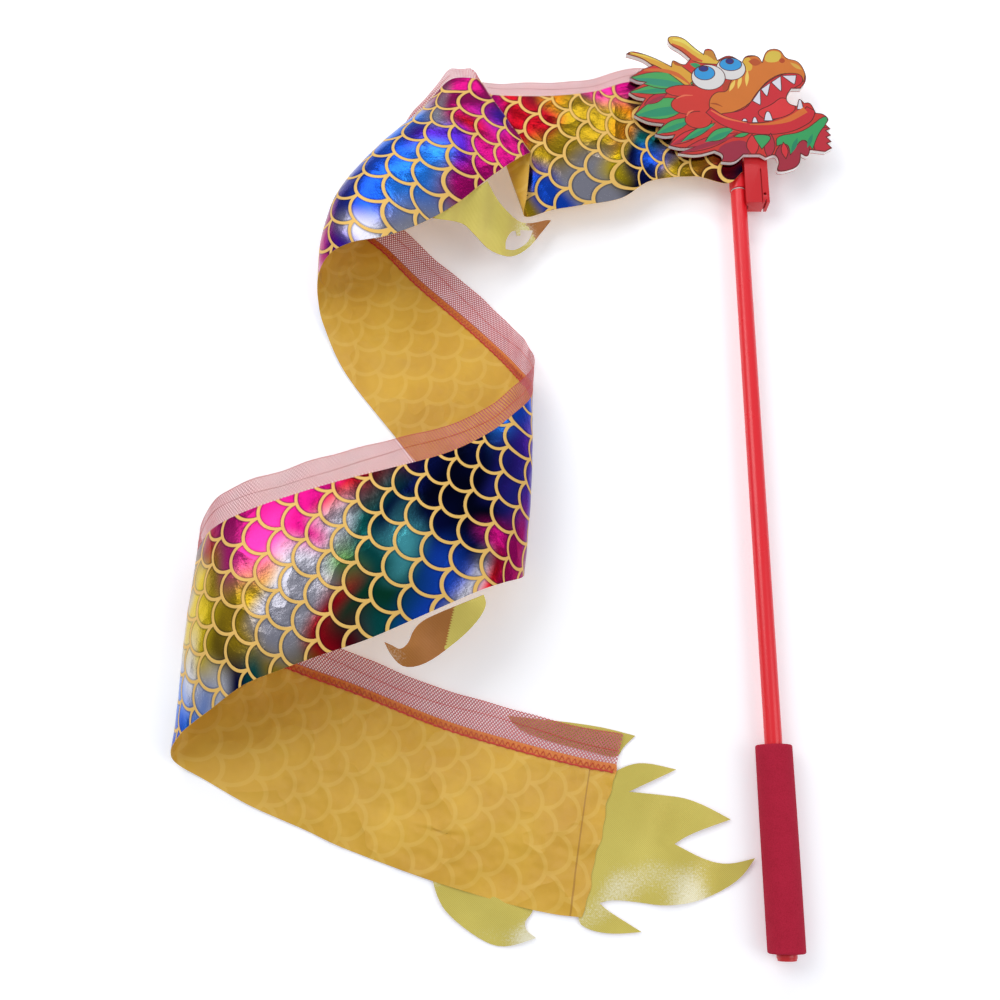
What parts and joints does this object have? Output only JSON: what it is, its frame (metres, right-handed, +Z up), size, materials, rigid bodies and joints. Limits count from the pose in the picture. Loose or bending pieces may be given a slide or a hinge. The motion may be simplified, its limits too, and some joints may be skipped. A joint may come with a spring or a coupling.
{
  "type": "dragon streamer on a stick",
  "caption": "Hand-held dragon streamer: red stick with foam grip, swivelling printed dragon head, and a long foil-scaled cloth ribbon with net crest, claws and flame tail, laid in zigzag folds.",
  "frame": {"origin": "centre of the end cap's flat butt face, on the stick's axis", "axes": "+Y along the stick from butt to head, +X to the right of the head's printed face, +Z up from the table the toy lies on"},
  "size_m": [0.4221, 0.6087, 0.0639],
  "materials": {
    "red_tube": "glossy moulded tube",
    "foam": "matt fine-celled foam",
    "red_moulding": "moulded, part gloss",
    "pin_steel": "plated",
    "washer_nylon": "natural nylon",
    "board": "white die-cut board",
    "print": "satin varnished print",
    "foil_cloth": "metallic foil face, plain satin back",
    "net": "fine sheer net",
    "thread": "chain stitched thread",
    "satin": "shiny twill satin"
  },
  "bodies": {
    "stick": {"pole_tube": "red_tube", "end_cap": "red_moulding", "grip_sleeve": "foam", "top_plug": "red_moulding", "swivel_pin": "pin_steel", "swivel_washer": "washer_nylon"},
    "head": {"swivel_collar": "red_moulding", "collar_cap": "red_moulding", "head_bracket": "red_moulding", "head_board": "board", "head_print_front": "print", "head_print_back": "print", "ribbon_1": "foil_cloth", "dorsal_net_1": "net", "seam_thread_1": "thread", "seam_thread_2": "thread"},
    "strand_2": {"ribbon_2": "foil_cloth", "dorsal_net_2": "net", "seam_thread_3": "thread"},
    "strand_3": {"ribbon_3": "foil_cloth", "dorsal_net_3": "net", "seam_thread_4": "thread"},
    "strand_4": {"ribbon_4": "foil_cloth", "dorsal_net_4": "net", "seam_thread_5": "thread", "tail_tip": "satin"},
    "claw_1": {"claw_1": "satin"},
    "claw_2": {"claw_2": "satin"},
    "claw_3": {"claw_3": "satin"},
    "tail": {"tail_flame": "satin"}
  },
  "joints": [
    {"name": "head_swivel", "type": "hinge", "parent": "stick", "child": "head", "pos_m": [0, 0.4934, 0], "axis": [0, 1, 0], "continuous": true},
    {"name": "fold_1", "type": "hinge", "parent": "head", "child": "strand_2", "pos_m": [-0.2595, 0.4245, -0.0085], "axis": [0.5702, 0.8205, -0.0417], "range_deg": [0, 35]},
    {"name": "fold_2", "type": "hinge", "parent": "strand_2", "child": "strand_3", "pos_m": [-0.1455, 0.284, 0.0095], "axis": [0.0592, 0.9974, 0.0423], "range_deg": [0, 40]},
    {"name": "fold_3", "type": "hinge", "parent": "strand_3", "child": "strand_4", "pos_m": [-0.3545, 0.175, 0.004], "axis": [0.0602, 0.9982, 0], "range_deg": [0, 35]},
    {"name": "claw_1_flap", "type": "hinge", "parent": "head", "child": "claw_1", "pos_m": [-0.1905, 0.4655, 0.0375], "axis": [0.7274, 0.6628, -0.1778], "range_deg": [-25, 25]},
    {"name": "claw_2_flap", "type": "hinge", "parent": "strand_3", "child": "claw_2", "pos_m": [-0.1855, 0.2, 0.043], "axis": [0.8986, 0.4108, -0.154], "range_deg": [-25, 25]},
    {"name": "claw_3_flap", "type": "hinge", "parent": "strand_4", "child": "claw_3", "pos_m": [-0.181, 0.037, -0.0093], "axis": [0.9615, -0.2747, 0.0046], "range_deg": [0, 30]},
    {"name": "tail_flap", "type": "hinge", "parent": "strand_4", "child": "tail", "pos_m": [-0.104, 0.0665, -0.009], "axis": [0.2452, 0.9695, 0], "range_deg": [0, 35]}
  ]
}
